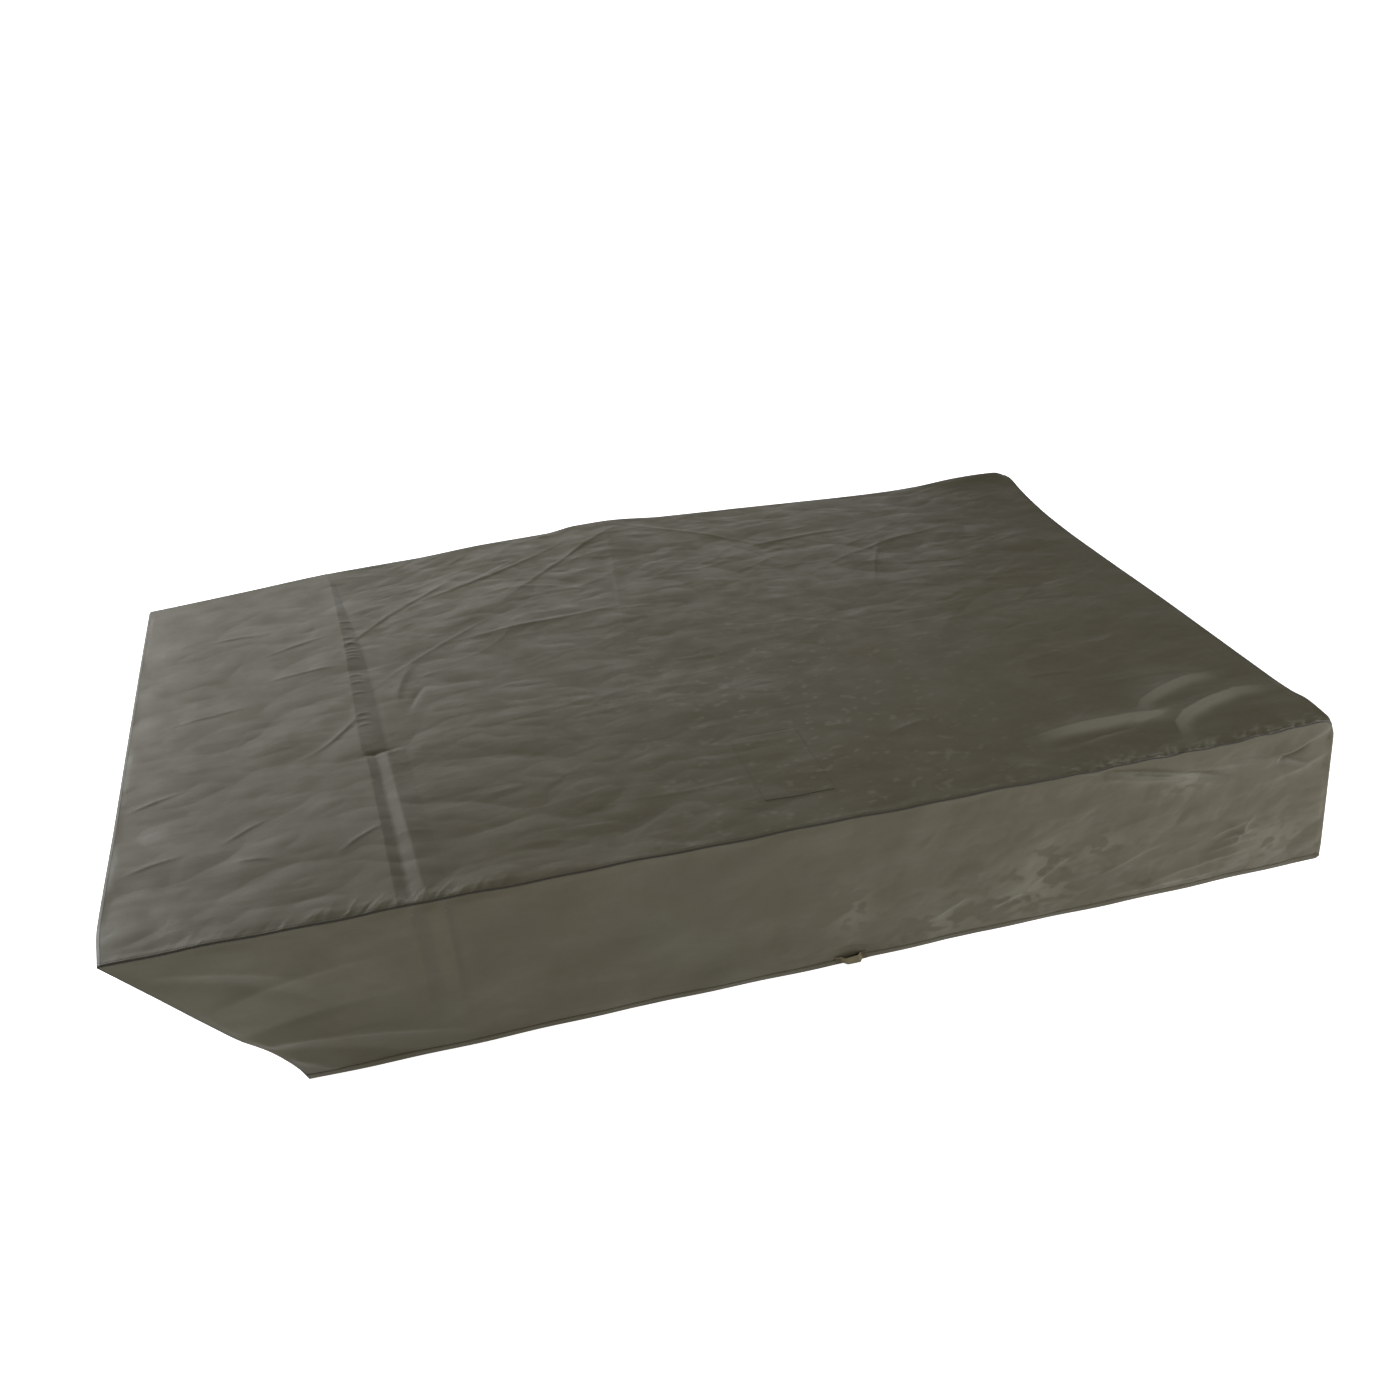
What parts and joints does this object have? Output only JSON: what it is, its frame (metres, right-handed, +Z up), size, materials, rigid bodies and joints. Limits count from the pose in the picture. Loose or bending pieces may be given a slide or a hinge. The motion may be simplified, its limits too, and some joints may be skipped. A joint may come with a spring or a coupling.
{
  "type": "bivy sack",
  "caption": "Full-size boxed bivy sack in olive coated cloth, standing as if filled, with a raked foot and a zipped lift-up flap at the head end.",
  "frame": {"origin": "middle of the sack's box, on the ground under the floor panel", "axes": "+X towards the head end, +Y towards the back wall, +Z up"},
  "size_m": [2.2866, 1.2839, 0.3859],
  "materials": {
    "coated_cloth": "olive drab taffeta with a slightly glossy waterproof coating",
    "floor_cloth": "heavier dark olive coated cloth",
    "seam_tape": "smooth heat-sealed tape",
    "binding": "matte grosgrain binding",
    "webbing": "ribbed khaki webbing",
    "hook_and_loop": "napped hook-and-loop strip",
    "zip_tape": "matte woven zip tape",
    "zip_coil": "matte nylon",
    "zip_metal": "satin dark enamel"
  },
  "bodies": {
    "sack": {"roof_panel": "coated_cloth", "front_wall": "coated_cloth", "back_wall": "coated_cloth", "foot_wall": "coated_cloth", "floor_panel": "floor_cloth", "seam_tape_front": "seam_tape", "seam_tape_back": "seam_tape", "seam_tape_foot": "seam_tape", "corner_tape_front": "seam_tape", "corner_tape_back": "seam_tape", "hem_front": "binding", "hem_back": "binding", "hem_foot": "binding", "hem_head": "binding", "peg_loop_front": "webbing", "peg_loop_back": "webbing", "peg_loop_foot": "webbing", "peg_loop_head": "webbing", "roof_patch": "coated_cloth", "head_valance": "coated_cloth", "head_sill": "coated_cloth", "loop_strip": "hook_and_loop", "flap_binding": "binding", "zip_tape_front": "zip_tape", "zip_coil_front": "zip_coil", "zip_stop_front": "zip_metal", "zip_box_front": "zip_metal", "zip_tape_back": "zip_tape", "zip_coil_back": "zip_coil", "zip_stop_back": "zip_metal", "zip_box_back": "zip_metal"},
    "head_flap_body": {"head_flap": "coated_cloth", "hook_strip": "hook_and_loop", "flap_hem": "binding", "flap_tape_front": "zip_tape", "flap_coil_front": "zip_coil", "zip_pin_front": "zip_coil", "flap_tape_back": "zip_tape", "flap_coil_back": "zip_coil", "zip_pin_back": "zip_coil"},
    "slider_front_body": {"slider_front": "zip_metal"},
    "slider_back_body": {"slider_back": "zip_metal"},
    "pull_tab_front_body": {"pull_tab_front": "zip_metal"},
    "pull_tab_back_body": {"pull_tab_back": "zip_metal"}
  },
  "joints": [
    {"name": "head_flap_hinge", "type": "hinge", "parent": "sack", "child": "head_flap_body", "pos_m": [1.06562, -0.01367, 0.31911], "axis": [0, -1, 0], "range_deg": [0, 120]},
    {"name": "slider_front_slide", "type": "slide", "parent": "sack", "child": "slider_front_body", "axis": [-0.2204, 0, 0.9754], "range_m": [0, 0.2277]},
    {"name": "pull_tab_front_hinge", "type": "hinge", "parent": "slider_front_body", "child": "pull_tab_front_body", "pos_m": [1.12275, -0.61467, 0.08399], "axis": [0, -1, 0], "range_deg": [0, 120]},
    {"name": "slider_back_slide", "type": "slide", "parent": "sack", "child": "slider_back_body", "axis": [-0.2204, 0, 0.9754], "range_m": [0, 0.2277]},
    {"name": "pull_tab_back_hinge", "type": "hinge", "parent": "slider_back_body", "child": "pull_tab_back_body", "pos_m": [1.12275, 0.58733, 0.08399], "axis": [0, -1, 0], "range_deg": [0, 120]}
  ]
}
